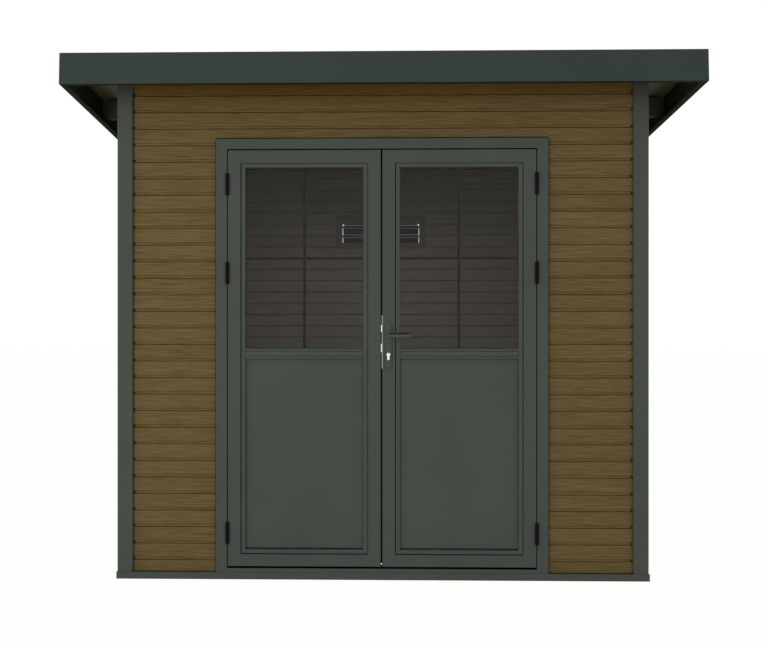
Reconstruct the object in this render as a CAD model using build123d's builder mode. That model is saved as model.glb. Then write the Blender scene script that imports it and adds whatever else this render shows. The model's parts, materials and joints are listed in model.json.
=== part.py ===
from build123d import *

import math
import os

os.makedirs("parts", exist_ok=True)

# House body, measured over the corner posts. The front faces -Y.
house_width = 2500.0
house_depth = 2500.0
front_height = 2438.0
post_size = 72.0
post_corner_radius = 4.0
post_wall = 3.0
channel_depth = 15.0

# Base frame and floor
base_height = 33.0
base_rail_width = 80.0
base_reveal = 4.0
base_edge_chamfer = 2.0
base_ledge = 20.0
joist_height = 15.0
joist_width = 60.0
joist_count = 5

# Walls of boards, set back between the posts
wall_thickness = 28.0
wall_setback = 18.0
top_rail_height = 42.0

# Roof: a ribbed sheet on purlins, in a tray of fascias that falls to the back
roof_tilt = 3.48
overhang = 215.0
fascia_height = 144.0
fascia_thickness = 3.0
fascia_flange = 40.0
fascia_lip = 30.0
sheet_depth = 14.0
sheet_thickness = 1.2
rib_count = 25
rib_height = 9.0
rib_foot_share = 0.5
rib_crown_share = 0.34
purlin_height = 100.0
purlin_flange = 45.0
purlin_wall = 3.0
purlin_place_shares = (-0.232, 0.0, 0.232)

# Door frame
door_frame_width = 1564.0
door_frame_drop = 360.0
door_frame_depth = 70.0
jamb_face = 52.0
head_face = 48.0
threshold_rise = 19.0
stop_width = 15.0
stop_clearance = 5.0

# Door leaves
leaf_depth = 45.0
side_gap = 5.0
head_gap = 6.0
sill_gap = 10.0
meeting_gap = 8.0
stile_width = 59.5
top_rail_face = 62.0
bottom_rail_face = 56.0
transom_face = 21.0
transom_rise = 992.0
bead_side = 25.0
bead_top = 22.0
bead_bottom = 24.0
bead_transom = 16.0
bead_setback = 4.0
bead_slope_width = 3.0
glass_thickness = 6.0
panel_thickness = 10.0

# Hinges: barrels in front of the gap between leaf and jamb
knuckle_radius = 8.5
knuckle_reveal = 0.5
hinge_height = 105.0
hinge_parting = 1.0
knuckle_cap = 3.0
knuckle_cap_radius = 5.5
tongue_thickness = 6.0
pin_radius = 4.0
pin_clearance = 0.05
upper_hinge_drop = 160.0
middle_hinge_drop = 579.0
lower_hinge_rise = 158.0

# Lock and lever handle on the right leaf
lever_inset = 28.0
lever_rise = 1090.0
plate_width = 32.0
plate_height = 210.0
plate_above_lever = 56.0
plate_thickness = 8.0
plate_corner_radius = 12.0
plate_edge_radius = 2.5
spindle_radius = 5.0
spindle_clearance = 0.05
neck_radius = 9.0
neck_gap = 0.5
neck_length = 40.0
lever_thickness = 12.0
lever_face = 20.0
lever_length = 110.0
lever_edge_radius = 4.0
cylinder_drop = 92.0
cylinder_radius = 8.5
cylinder_tail_width = 10.0
cylinder_tail_length = 24.0
cylinder_reveal = 4.0
forend_length = 251.0
forend_width = 22.0
forend_thickness = 3.0
forend_above_lever = 94.0
bolt_reveal = 3.0
bolt_thickness = 12.0
latch_bevel = 2.5
latch_offset = 31.0
latch_length = 32.0
deadbolt_offset = -60.5
deadbolt_length = 39.0

# Louvred vent in the back wall
vent_width = 531.0
vent_height = 136.0
vent_drop = 539.0
vent_flange_side = 44.0
vent_flange_top = 57.0
vent_flange_bottom = 43.0
vent_flange_thickness = 4.0
vent_sleeve = 3.0
blade_count = 2
blade_rise_share = 0.88
blade_depth_share = 0.86
blade_thickness = 3.0
blade_head_share = 0.1
head_lip_thickness = 3.0
blade_end_gap = 9.0
tab_height = 11.0
tab_depth = 8.0
tab_place_share = 0.8

# Limits worked out from the sizes above
half_width = house_width / 2
half_depth = house_depth / 2
front_face = -half_depth
post_inside_x = half_width - post_size
post_inside_y = half_depth - post_size
base_outside_x = half_width + base_reveal
base_outside_y = half_depth + base_reveal
base_inside_x = base_outside_x - base_rail_width
base_inside_y = base_outside_y - base_rail_width
ledge_inside_x = base_inside_x - base_ledge
ledge_inside_y = base_inside_y - base_ledge
wall_end_x = post_inside_x + channel_depth
wall_end_y = post_inside_y + channel_depth
wall_outside_x = half_width - wall_setback
wall_outside_y = half_depth - wall_setback
wall_inside_x = wall_outside_x - wall_thickness
wall_inside_y = wall_outside_y - wall_thickness
jamb_outside = door_frame_width / 2
door_frame_top = front_height - door_frame_drop
jamb_inside = jamb_outside - jamb_face
head_underside = door_frame_top - head_face
threshold_top = base_height + threshold_rise
leaf_front = front_face
leaf_back = leaf_front + leaf_depth
leaf_middle = leaf_front + leaf_depth / 2
stop_front = leaf_back + stop_clearance
frame_back = front_face + door_frame_depth
leaf_outer = jamb_inside - side_gap
leaf_inner = meeting_gap / 2
leaf_top = head_underside - head_gap
leaf_bottom = threshold_top + sill_gap
opening_outer = leaf_outer - stile_width
opening_inner = leaf_inner + stile_width
upper_opening_top = leaf_top - top_rail_face
transom_bottom = leaf_bottom + transom_rise
transom_top = transom_bottom + transom_face
lower_opening_bottom = leaf_bottom + bottom_rail_face

# Roof frame: local X across, local Y down the slope to the back, local Z square to the roof
tilt = math.radians(roof_tilt)
roof_width = house_width + 2 * overhang
roof_length = house_depth + 2 * overhang
half_roof_width = roof_width / 2
half_roof_length = roof_length / 2
roof_middle = (
    0,
    fascia_height / 2 * math.sin(tilt),
    front_height - half_roof_length * math.sin(tilt),
)
roof_normal = (0, math.sin(tilt), math.cos(tilt))
roof_plane = Plane(origin=roof_middle, x_dir=(1, 0, 0), z_dir=roof_normal)
roof_section = Plane(origin=roof_middle, x_dir=(0, math.cos(tilt), -math.sin(tilt)), z_dir=(1, 0, 0))
roof_front_view = Plane(origin=roof_middle, x_dir=(1, 0, 0), z_dir=(0, -math.cos(tilt), math.sin(tilt)))
sheet_underside = roof_plane.offset(-sheet_depth)
purlin_bottom = sheet_depth + purlin_height
purlin_places = [share * roof_length for share in purlin_place_shares]
fascia_inside_x = half_roof_width - fascia_thickness
fascia_inside_y = half_roof_length - fascia_thickness


def height_under_sheet(y):
    """Height of the sheet's underside over a line across the house."""
    along = y - roof_middle[1]
    return roof_middle[2] - along * math.tan(tilt) - sheet_depth / math.cos(tilt)


def keep(builder, label):
    """Name a finished piece and write it."""
    builder.part.label = label
    export_step(builder.part, f"parts/{label}.step")


def add_block(x_span, y_span, z_span, mode=Mode.ADD):
    """A rectangular block between limits, added to or cut from the piece at hand."""
    with BuildSketch(Plane.XY.offset(z_span[0])) as outline:
        with Locations(((x_span[0] + x_span[1]) / 2, (y_span[0] + y_span[1]) / 2)):
            Rectangle(x_span[1] - x_span[0], y_span[1] - y_span[0])
    extrude(outline.sketch, amount=z_span[1] - z_span[0], mode=mode)


def add_roof_block(x_span, y_span, depths, mode=Mode.ADD):
    """The same in the roof's own frame, between two depths below the roof's top."""
    with BuildSketch(roof_plane.offset(-depths[1])) as outline:
        with Locations(((x_span[0] + x_span[1]) / 2, (y_span[0] + y_span[1]) / 2)):
            Rectangle(x_span[1] - x_span[0], y_span[1] - y_span[0])
    extrude(outline.sketch, amount=depths[1] - depths[0], mode=mode)


def mirrored(low, high, side):
    """A span on the right, or its mirror image on the left when side is -1."""
    return (low, high) if side > 0 else (-high, -low)


def outer_top_edge(builder, axis, side):
    """The top edge of a piece that faces out along an axis."""
    top_edges = builder.faces().sort_by(Axis.Z)[-1].edges().sort_by(axis)
    return top_edges[-1] if side > 0 else top_edges[0]


# Base frame: front and back rails run through, side rails fit between them.
# A ledge along the inside carries the floor deck.
for label, side in (("front_base_rail", -1), ("back_base_rail", 1)):
    with BuildPart() as base_rail:
        add_block(
            (-base_outside_x, base_outside_x),
            mirrored(base_inside_y, base_outside_y, side),
            (0, base_height),
        )
        chamfer(outer_top_edge(base_rail, Axis.Y, side), base_edge_chamfer)
        add_block(
            (-ledge_inside_x, ledge_inside_x),
            mirrored(ledge_inside_y, base_inside_y, side),
            (0, joist_height),
        )
    keep(base_rail, label)

for label, side in (("left_base_rail", -1), ("right_base_rail", 1)):
    with BuildPart() as base_rail:
        add_block(
            mirrored(base_inside_x, base_outside_x, side),
            (-base_inside_y, base_inside_y),
            (0, base_height),
        )
        chamfer(outer_top_edge(base_rail, Axis.X, side), base_edge_chamfer)
        add_block(
            mirrored(ledge_inside_x, base_inside_x, side),
            (-base_inside_y, base_inside_y),
            (0, joist_height),
        )
    keep(base_rail, label)

# Floor: a deck flush with the base frame, on the ledges and on joists between them
joist_pitch = 2 * ledge_inside_y / (joist_count + 1)
with BuildPart() as floor_joists:
    with BuildSketch(Plane.XY):
        with GridLocations(0, joist_pitch, 1, joist_count):
            Rectangle(2 * ledge_inside_x, joist_width)
    extrude(amount=joist_height)
keep(floor_joists, "floor_joists")

with BuildPart() as floor_deck:
    add_block(
        (-base_inside_x, base_inside_x),
        (-base_inside_y, base_inside_y),
        (joist_height, base_height),
    )
keep(floor_deck, "floor_deck")

# Corner posts: hollow profiles with a channel for each wall, cut to the slope of the roof sheet
post_centre_x = half_width - post_size / 2
post_centre_y = half_depth - post_size / 2
channel_middle = post_size / 2 - wall_setback - wall_thickness / 2
channel_place = (channel_depth - post_size) / 2
hollow_size = post_size - channel_depth - 2 * post_wall
hollow_place = (post_size - hollow_size) / 2 - post_wall
for depth_name, y_side in (("front", -1), ("back", 1)):
    for side_name, x_side in (("left", -1), ("right", 1)):
        with BuildPart() as post:
            with BuildSketch(Plane.XY.offset(base_height)):
                with Locations((x_side * post_centre_x, y_side * post_centre_y)):
                    RectangleRounded(post_size, post_size, post_corner_radius)
                    with Locations((x_side * channel_place, y_side * channel_middle)):
                        Rectangle(channel_depth, wall_thickness, mode=Mode.SUBTRACT)
                    with Locations((x_side * channel_middle, y_side * channel_place)):
                        Rectangle(wall_thickness, channel_depth, mode=Mode.SUBTRACT)
                    with Locations((x_side * hollow_place, y_side * hollow_place)):
                        Rectangle(hollow_size, hollow_size, mode=Mode.SUBTRACT)
            extrude(amount=front_height - base_height)
            split(bisect_by=sheet_underside, keep=Keep.BOTTOM)
        keep(post, f"{depth_name}_{side_name}_post")

# Top rails over the front and back walls, under the sheet
front_rail_bottom = height_under_sheet(-wall_inside_y) - top_rail_height
back_rail_bottom = height_under_sheet(wall_outside_y) - top_rail_height
for label, side, rail_bottom in (
    ("front_top_rail", -1, front_rail_bottom),
    ("back_top_rail", 1, back_rail_bottom),
):
    with BuildPart() as top_rail:
        add_block(
            (-wall_end_x, wall_end_x),
            mirrored(wall_inside_y, wall_outside_y, side),
            (rail_bottom, front_height),
        )
        split(bisect_by=sheet_underside, keep=Keep.BOTTOM)
    keep(top_rail, label)

# Front wall beside and over the doorway
front_wall_span = (-wall_outside_y, -wall_inside_y)
for label, side in (("front_left_wall", -1), ("front_right_wall", 1)):
    with BuildPart() as front_wall:
        add_block(
            mirrored(jamb_outside, wall_end_x, side),
            front_wall_span,
            (base_height, front_rail_bottom),
        )
    keep(front_wall, label)

with BuildPart() as wall_over_door:
    add_block((-jamb_outside, jamb_outside), front_wall_span, (door_frame_top, front_rail_bottom))
keep(wall_over_door, "wall_over_door")

# Side walls: tops follow the sheet, with a notch for each purlin
for label, side in (("left_wall", -1), ("right_wall", 1)):
    with BuildPart() as side_wall:
        add_block(
            mirrored(wall_inside_x, wall_outside_x, side),
            (-wall_end_y, wall_end_y),
            (base_height, front_height),
        )
        split(bisect_by=sheet_underside, keep=Keep.BOTTOM)
        for place in purlin_places:
            add_roof_block(
                (-half_width, half_width),
                (place - purlin_flange / 2, place + purlin_flange / 2),
                (sheet_depth, purlin_bottom),
                mode=Mode.SUBTRACT,
            )
    keep(side_wall, label)

# Back wall below, beside and above the vent
back_wall_span = (wall_inside_y, wall_outside_y)
vent_top = front_height - vent_drop
vent_bottom = vent_top - vent_height
vent_half = vent_width / 2
cutout_half = vent_half + vent_sleeve
blade_half = vent_half - blade_end_gap
cutout_bottom = vent_bottom - vent_sleeve
cutout_top = vent_top + vent_sleeve
with BuildPart() as back_wall_lower:
    add_block((-wall_end_x, wall_end_x), back_wall_span, (base_height, cutout_bottom))
keep(back_wall_lower, "back_wall_lower")

with BuildPart() as back_wall_beside_vent:
    for side in (-1, 1):
        add_block(
            mirrored(cutout_half, wall_end_x, side),
            back_wall_span,
            (cutout_bottom, cutout_top),
        )
keep(back_wall_beside_vent, "back_wall_beside_vent")

with BuildPart() as back_wall_upper:
    add_block((-wall_end_x, wall_end_x), back_wall_span, (cutout_top, back_rail_bottom))
keep(back_wall_upper, "back_wall_upper")

# Vent frame: a sleeve through the wall with a flange on both faces
with BuildPart() as vent_frame:
    for flange_span in (
        (wall_inside_y - vent_flange_thickness, wall_inside_y),
        (wall_outside_y, wall_outside_y + vent_flange_thickness),
    ):
        add_block(
            (-vent_half - vent_flange_side, vent_half + vent_flange_side),
            flange_span,
            (vent_bottom - vent_flange_bottom, vent_top + vent_flange_top),
        )
    add_block((-cutout_half, cutout_half), back_wall_span, (cutout_bottom, cutout_top))
    add_block(
        (-vent_half, vent_half),
        (wall_inside_y - vent_flange_thickness, wall_outside_y + vent_flange_thickness),
        (vent_bottom, vent_top),
        mode=Mode.SUBTRACT,
    )
    add_block(
        (-blade_half, blade_half),
        (wall_outside_y - head_lip_thickness, wall_outside_y),
        (vent_top - blade_head_share * vent_height, vent_top),
    )
keep(vent_frame, "vent_frame")

# Vent louvres: sloping blades, each held by a tab at both ends
blade_pitch = vent_height * (1 - blade_head_share) / blade_count
blade_rise = blade_pitch * blade_rise_share
blade_depth = wall_thickness * blade_depth_share
blade_inside = (wall_inside_y + wall_outside_y - blade_depth) / 2
with BuildPart() as vent_louvres:
    for index in range(blade_count):
        blade_foot = vent_bottom + index * blade_pitch
        tab_middle = blade_foot + tab_place_share * blade_rise
        tab_y = blade_inside + (1 - tab_place_share) * blade_depth
        with BuildSketch(Plane.YZ):
            with BuildLine():
                Polyline(
                    (blade_inside, blade_foot + blade_rise),
                    (blade_inside, blade_foot + blade_rise - blade_thickness),
                    (blade_inside + blade_depth, blade_foot),
                    (blade_inside + blade_depth, blade_foot + blade_thickness),
                    close=True,
                )
            make_face()
        extrude(amount=blade_half, both=True)
        for side in (-1, 1):
            add_block(
                mirrored(blade_half - blade_end_gap, vent_half, side),
                (tab_y - tab_depth / 2, tab_y + tab_depth / 2),
                (tab_middle - tab_height / 2, tab_middle + tab_height / 2),
            )
keep(vent_louvres, "vent_louvres")

# Door frame: jambs with a stop behind the leaf, head, and threshold
stop_inside = jamb_inside - stop_width
for label, side in (("door_left_jamb", -1), ("door_right_jamb", 1)):
    with BuildPart() as jamb:
        add_block(
            mirrored(jamb_inside, jamb_outside, side),
            (front_face, frame_back),
            (base_height, door_frame_top),
        )
        add_block(
            mirrored(stop_inside, jamb_inside, side),
            (stop_front, frame_back),
            (threshold_top, head_underside),
        )
    keep(jamb, label)

with BuildPart() as door_head:
    add_block((-jamb_inside, jamb_inside), (front_face, frame_back), (head_underside, door_frame_top))
    add_block(
        (-stop_inside, stop_inside),
        (stop_front, frame_back),
        (head_underside - stop_width, head_underside),
    )
keep(door_head, "door_head")

with BuildPart() as door_threshold:
    add_block((-jamb_inside, jamb_inside), (front_face, frame_back), (base_height, threshold_top))
    add_block(
        (-stop_inside, stop_inside),
        (stop_front, frame_back),
        (threshold_top, threshold_top + stop_width),
    )
keep(door_threshold, "door_threshold")

# Hinges: the jamb half carries the pin and sits low, the leaf half turns above it
hinge_x = jamb_inside - side_gap / 2
hinge_y = front_face - knuckle_radius - knuckle_reveal
hinge_middles = (
    leaf_top - upper_hinge_drop,
    leaf_top - middle_hinge_drop,
    leaf_bottom + lower_hinge_rise,
)
knuckle_height = (hinge_height - hinge_parting) / 2


def add_knuckle(side, parting, reach, tongue_x):
    """A hinge barrel from the parting up or down to its cap, with the tongue that fixes it."""
    low, high = sorted((parting, parting + reach))
    cap_middle = parting + reach - math.copysign(knuckle_cap / 2, reach)
    barrel_length = high - low - knuckle_cap
    barrel_middle = parting + math.copysign(barrel_length / 2, reach)
    with Locations((side * hinge_x, hinge_y, barrel_middle)):
        Cylinder(knuckle_radius, barrel_length)
    with Locations((side * hinge_x, hinge_y, cap_middle)):
        if reach > 0:
            Cone(knuckle_radius, knuckle_cap_radius, knuckle_cap)
        else:
            Cone(knuckle_cap_radius, knuckle_radius, knuckle_cap)
    tongue_z = (parting, barrel_middle) if reach > 0 else (barrel_middle, parting)
    add_block(mirrored(*tongue_x, side), (hinge_y, front_face), tongue_z)


with BuildPart() as frame_hinges:
    for side in (-1, 1):
        for middle in hinge_middles:
            parting = middle - hinge_parting / 2
            add_knuckle(side, parting, -knuckle_height, (jamb_inside, jamb_inside + tongue_thickness))
            with BuildSketch(Plane.XY.offset(parting)):
                with Locations((side * hinge_x, hinge_y)):
                    Circle(pin_radius)
            extrude(amount=hinge_height / 2)
keep(frame_hinges, "frame_hinges")

for label, side in (("left_leaf_hinges", -1), ("right_leaf_hinges", 1)):
    with BuildPart() as leaf_hinges:
        for middle in hinge_middles:
            parting = middle + hinge_parting / 2
            add_knuckle(side, parting, knuckle_height, (leaf_outer - tongue_thickness, leaf_outer))
            with BuildSketch(Plane.XY.offset(parting)):
                with Locations((side * hinge_x, hinge_y)):
                    Circle(pin_radius + pin_clearance)
            extrude(amount=knuckle_height, mode=Mode.SUBTRACT)
    keep(leaf_hinges, label)

# Lock places on the right leaf
lever_x = leaf_inner + lever_inset
lever_z = leaf_bottom + lever_rise
forend_top = lever_z + forend_above_lever
forend_bottom = forend_top - forend_length
forend_span = (leaf_middle - forend_width / 2, leaf_middle + forend_width / 2)
plate_front = leaf_front - plate_thickness
leaf_middle_plane = Plane.XZ.offset(-leaf_middle)
leaf_front_plane = Plane.XZ.offset(-leaf_front)
plate_front_plane = Plane.XZ.offset(-plate_front)

# Door leaves: stiles, rails, beads, glass and lower panel
leaf_depth_span = (leaf_front, leaf_back)
glass_span = (leaf_middle - glass_thickness / 2, leaf_middle + glass_thickness / 2)
panel_span = (leaf_middle - panel_thickness / 2, leaf_middle + panel_thickness / 2)
for side_name, side in (("left", -1), ("right", 1)):
    stile_spans = (
        mirrored(opening_outer, leaf_outer, side),
        mirrored(leaf_inner, opening_inner, side),
    )
    with BuildPart() as stiles:
        for stile_span in stile_spans:
            add_block(stile_span, leaf_depth_span, (leaf_bottom, leaf_top))
        add_block(
            mirrored(leaf_inner, leaf_inner + forend_thickness, side),
            forend_span,
            (forend_bottom, forend_top),
            mode=Mode.SUBTRACT,
        )
        if side > 0:
            with BuildSketch(leaf_front_plane):
                with Locations((lever_x, lever_z)):
                    Circle(spindle_radius + spindle_clearance)
            extrude(amount=-leaf_depth, mode=Mode.SUBTRACT)
    keep(stiles, f"{side_name}_leaf_stiles")

    opening_span = mirrored(opening_inner, opening_outer, side)
    with BuildPart() as rails:
        add_block(opening_span, leaf_depth_span, (leaf_bottom, lower_opening_bottom))
        add_block(opening_span, leaf_depth_span, (transom_bottom, transom_top))
        add_block(opening_span, leaf_depth_span, (upper_opening_top, leaf_top))
    keep(rails, f"{side_name}_leaf_rails")

    with BuildPart() as glass:
        add_block(opening_span, glass_span, (transom_top, upper_opening_top))
    keep(glass, f"{side_name}_leaf_glass")

    with BuildPart() as panel:
        add_block(opening_span, panel_span, (lower_opening_bottom, transom_bottom))
    keep(panel, f"{side_name}_leaf_panel")

    sight_middle_x = (opening_span[0] + opening_span[1]) / 2
    sight_width = opening_outer - opening_inner - 2 * bead_side
    with BuildPart() as beads:
        for infill_span, opening_z, sight_z in (
            (
                glass_span,
                (transom_top, upper_opening_top),
                (transom_top + bead_transom, upper_opening_top - bead_top),
            ),
            (
                panel_span,
                (lower_opening_bottom, transom_bottom),
                (lower_opening_bottom + bead_bottom, transom_bottom - bead_transom),
            ),
        ):
            bead_depth = infill_span[0] - leaf_front - bead_setback
            slope = math.degrees(math.atan2(bead_slope_width, bead_depth))
            add_block(opening_span, (infill_span[0] - bead_depth, infill_span[0]), opening_z)
            with BuildSketch(Plane.XZ.offset(-infill_span[0])) as sight:
                with Locations((sight_middle_x, (sight_z[0] + sight_z[1]) / 2)):
                    Rectangle(sight_width, sight_z[1] - sight_z[0])
            extrude(sight.sketch, amount=bead_depth, taper=-slope, mode=Mode.SUBTRACT)
        mirror(about=leaf_middle_plane)
    keep(beads, f"{side_name}_leaf_beads")

# Lock forend with latch and deadbolt, and the strike plate facing it
bolt_depth_span = (leaf_middle - bolt_thickness / 2, leaf_middle + bolt_thickness / 2)
with BuildPart() as lock_forend:
    add_block((leaf_inner, leaf_inner + forend_thickness), forend_span, (forend_bottom, forend_top))
    latch_middle = lever_z + latch_offset
    add_block(
        (leaf_inner - bolt_reveal, leaf_inner),
        bolt_depth_span,
        (latch_middle - latch_length / 2, latch_middle + latch_length / 2),
    )
    latch_edges = lock_forend.faces().sort_by(Axis.X)[0].edges()
    chamfer(latch_edges.filter_by(Axis.Z).sort_by(Axis.Y)[-1], latch_bevel)
    deadbolt_middle = lever_z + deadbolt_offset
    add_block(
        (leaf_inner - bolt_reveal, leaf_inner),
        bolt_depth_span,
        (deadbolt_middle - deadbolt_length / 2, deadbolt_middle + deadbolt_length / 2),
    )
keep(lock_forend, "lock_forend")

with BuildPart() as strike_plate:
    add_block((-leaf_inner - forend_thickness, -leaf_inner), forend_span, (forend_bottom, forend_top))
keep(strike_plate, "strike_plate")

# Handle plates on both faces of the right leaf
plate_middle_z = lever_z + plate_above_lever - plate_height / 2
with BuildPart() as handle_plates:
    with BuildSketch(leaf_front_plane):
        with Locations((lever_x, plate_middle_z)):
            RectangleRounded(plate_width, plate_height, plate_corner_radius)
        with Locations((lever_x, lever_z)):
            Circle(spindle_radius + spindle_clearance, mode=Mode.SUBTRACT)
    extrude(amount=plate_thickness)
    fillet(handle_plates.faces().sort_by(Axis.Y)[0].outer_wire().edges(), plate_edge_radius)
    mirror(about=leaf_middle_plane)
keep(handle_plates, "handle_plates")

# Ends of the lock cylinder, standing out of the plates
with BuildPart() as lock_cylinder:
    with BuildSketch(plate_front_plane):
        with Locations((lever_x, lever_z - cylinder_drop)):
            Circle(cylinder_radius)
        with Locations((lever_x, lever_z - cylinder_drop - cylinder_tail_length / 2)):
            Rectangle(cylinder_tail_width, cylinder_tail_length)
    extrude(amount=cylinder_reveal)
    mirror(about=leaf_middle_plane)
keep(lock_cylinder, "lock_cylinder")

# Lever: a spindle through the leaf with an arm on both sides, pointing to the hinges
arm_plane = plate_front_plane.offset(neck_gap + neck_length)
arm_reach = lever_length - lever_face / 2
with BuildPart() as lever_handle:
    with BuildSketch(plate_front_plane.offset(neck_gap)):
        with Locations((lever_x, lever_z)):
            Circle(neck_radius)
    extrude(amount=neck_length)
    with BuildSketch(arm_plane):
        with Locations((lever_x + arm_reach / 2, lever_z)):
            SlotCenterToCenter(arm_reach, lever_face)
    extrude(amount=lever_thickness)
    fillet(lever_handle.faces().sort_by(Axis.Y)[0].edges(), lever_edge_radius)
    with BuildSketch(leaf_middle_plane):
        with Locations((lever_x, lever_z)):
            Circle(spindle_radius)
    extrude(amount=leaf_depth / 2 + plate_thickness + neck_gap)
    mirror(about=leaf_middle_plane)
keep(lever_handle, "lever_handle")

# Front and side fascias: folded channels, mitred at the front corners
def fascia_profile(reach):
    """Channel section that opens inward, from its outer face at reach, given in the roof's frame."""
    inward = -math.copysign(1, reach)
    thick = inward * fascia_thickness
    return (
        (reach, 0),
        (reach + inward * fascia_flange, 0),
        (reach + inward * fascia_flange, -fascia_thickness),
        (reach + thick, -fascia_thickness),
        (reach + thick, fascia_thickness - fascia_height),
        (reach + inward * fascia_lip, fascia_thickness - fascia_height),
        (reach + inward * fascia_lip, -fascia_height),
        (reach, -fascia_height),
    )


def mitre_plane(side):
    """Plane through a front corner of the roof, at 45 degrees, facing the front fascia."""
    corner = roof_plane.from_local_coords((side * half_roof_width, -half_roof_length, 0))
    facing = roof_plane.x_dir * -side - roof_plane.y_dir
    return Plane(origin=corner, x_dir=roof_normal, z_dir=facing)


with BuildPart() as front_fascia:
    with BuildSketch(roof_section):
        with BuildLine():
            Polyline(*fascia_profile(-half_roof_length), close=True)
        make_face()
    extrude(amount=half_roof_width, both=True)
    for side in (-1, 1):
        split(bisect_by=mitre_plane(side), keep=Keep.TOP)
keep(front_fascia, "front_fascia")

for label, side in (("left_fascia", -1), ("right_fascia", 1)):
    with BuildPart() as side_fascia:
        with BuildSketch(roof_front_view):
            with BuildLine():
                Polyline(*fascia_profile(side * half_roof_width), close=True)
            make_face()
        extrude(amount=half_roof_length, both=True)
        split(bisect_by=mitre_plane(side), keep=Keep.BOTTOM)
        add_roof_block(
            mirrored(half_roof_width - fascia_flange, fascia_inside_x, side),
            (fascia_inside_y, half_roof_length),
            (fascia_height - fascia_thickness, fascia_height),
            mode=Mode.SUBTRACT,
        )
    keep(side_fascia, label)

# Back fascia: stays under the sheet, so that rain runs off over it
with BuildPart() as back_fascia:
    add_roof_block(
        (-fascia_inside_x, fascia_inside_x),
        (fascia_inside_y, half_roof_length),
        (sheet_depth, fascia_height),
    )
    add_roof_block(
        (fascia_lip - half_roof_width, half_roof_width - fascia_lip),
        (half_roof_length - fascia_lip, fascia_inside_y),
        (fascia_height - fascia_thickness, fascia_height),
    )
keep(back_fascia, "back_fascia")

# Purlins: channels across the house, in the side walls' notches
with BuildPart() as roof_purlins:
    with BuildSketch(roof_section):
        for place in purlin_places:
            with Locations((place, -sheet_depth - purlin_height / 2)):
                Rectangle(purlin_flange, purlin_height)
            with Locations((place + purlin_wall / 2, -sheet_depth - purlin_height / 2)):
                Rectangle(
                    purlin_flange - purlin_wall,
                    purlin_height - 2 * purlin_wall,
                    mode=Mode.SUBTRACT,
                )
    extrude(amount=fascia_inside_x, both=True)
keep(roof_purlins, "roof_purlins")

# Roof sheet: trapezoid ribs that run down the slope
rib_pitch = 2 * fascia_inside_x / rib_count
sheet_lower = [(-fascia_inside_x, -sheet_depth)]
for index in range(rib_count):
    rib_middle = (index + 1 / 2) * rib_pitch - fascia_inside_x
    for reach, level in (
        (-rib_foot_share, 0),
        (-rib_crown_share, rib_height),
        (rib_crown_share, rib_height),
        (rib_foot_share, 0),
    ):
        sheet_lower.append((rib_middle + reach / 2 * rib_pitch, level - sheet_depth))
sheet_lower.append((fascia_inside_x, -sheet_depth))
sheet_upper = [(across, level + sheet_thickness) for across, level in reversed(sheet_lower)]
with BuildPart() as roof_sheet:
    with BuildSketch(roof_front_view.offset(-half_roof_length)):
        with BuildLine():
            Polyline(*sheet_lower, *sheet_upper, close=True)
        make_face()
    extrude(amount=half_roof_length + fascia_inside_y)
keep(roof_sheet, "roof_sheet")
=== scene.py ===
"""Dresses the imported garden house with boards, seals, glazing bars, lock details, materials and light."""

import json
import math
import random

import bmesh
import bpy
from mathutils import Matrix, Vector


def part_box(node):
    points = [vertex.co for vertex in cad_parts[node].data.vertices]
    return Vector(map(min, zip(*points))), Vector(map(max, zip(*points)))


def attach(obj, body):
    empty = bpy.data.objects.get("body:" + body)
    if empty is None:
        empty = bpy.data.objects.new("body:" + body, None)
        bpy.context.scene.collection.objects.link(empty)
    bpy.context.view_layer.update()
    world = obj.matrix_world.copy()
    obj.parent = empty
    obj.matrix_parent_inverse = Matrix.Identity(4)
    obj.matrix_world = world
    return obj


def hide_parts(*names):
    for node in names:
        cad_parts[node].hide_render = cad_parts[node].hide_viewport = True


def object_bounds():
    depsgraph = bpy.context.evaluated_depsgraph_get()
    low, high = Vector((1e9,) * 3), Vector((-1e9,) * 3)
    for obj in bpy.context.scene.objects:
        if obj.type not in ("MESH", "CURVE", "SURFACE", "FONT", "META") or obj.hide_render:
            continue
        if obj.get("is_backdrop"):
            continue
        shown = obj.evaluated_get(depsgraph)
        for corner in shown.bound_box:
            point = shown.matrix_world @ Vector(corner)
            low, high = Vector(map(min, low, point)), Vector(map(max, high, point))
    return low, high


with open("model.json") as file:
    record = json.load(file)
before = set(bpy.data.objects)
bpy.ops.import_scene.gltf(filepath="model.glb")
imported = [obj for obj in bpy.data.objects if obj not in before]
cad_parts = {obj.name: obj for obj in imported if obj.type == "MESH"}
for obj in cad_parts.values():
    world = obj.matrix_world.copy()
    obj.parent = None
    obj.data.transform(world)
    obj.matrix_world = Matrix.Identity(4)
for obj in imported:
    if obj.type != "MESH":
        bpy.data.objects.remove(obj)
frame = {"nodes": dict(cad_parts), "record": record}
cad_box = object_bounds()
nodes = frame["nodes"]

# Photo frame in pixels, and the camera that was fitted to it, in metres and degrees
PHOTO_WIDTH = 768
PHOTO_HEIGHT = 647
FOCAL_PIXELS = 1093.8
PRINCIPAL_X = 352.7
PRINCIPAL_Y = 321.95
SENSOR_WIDTH_MM = 36.0
CAMERA_PLACE = (-0.010, -6.398, 1.2167)
CAMERA_TURN = 1.40
CAMERA_PITCH = -0.03

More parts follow.
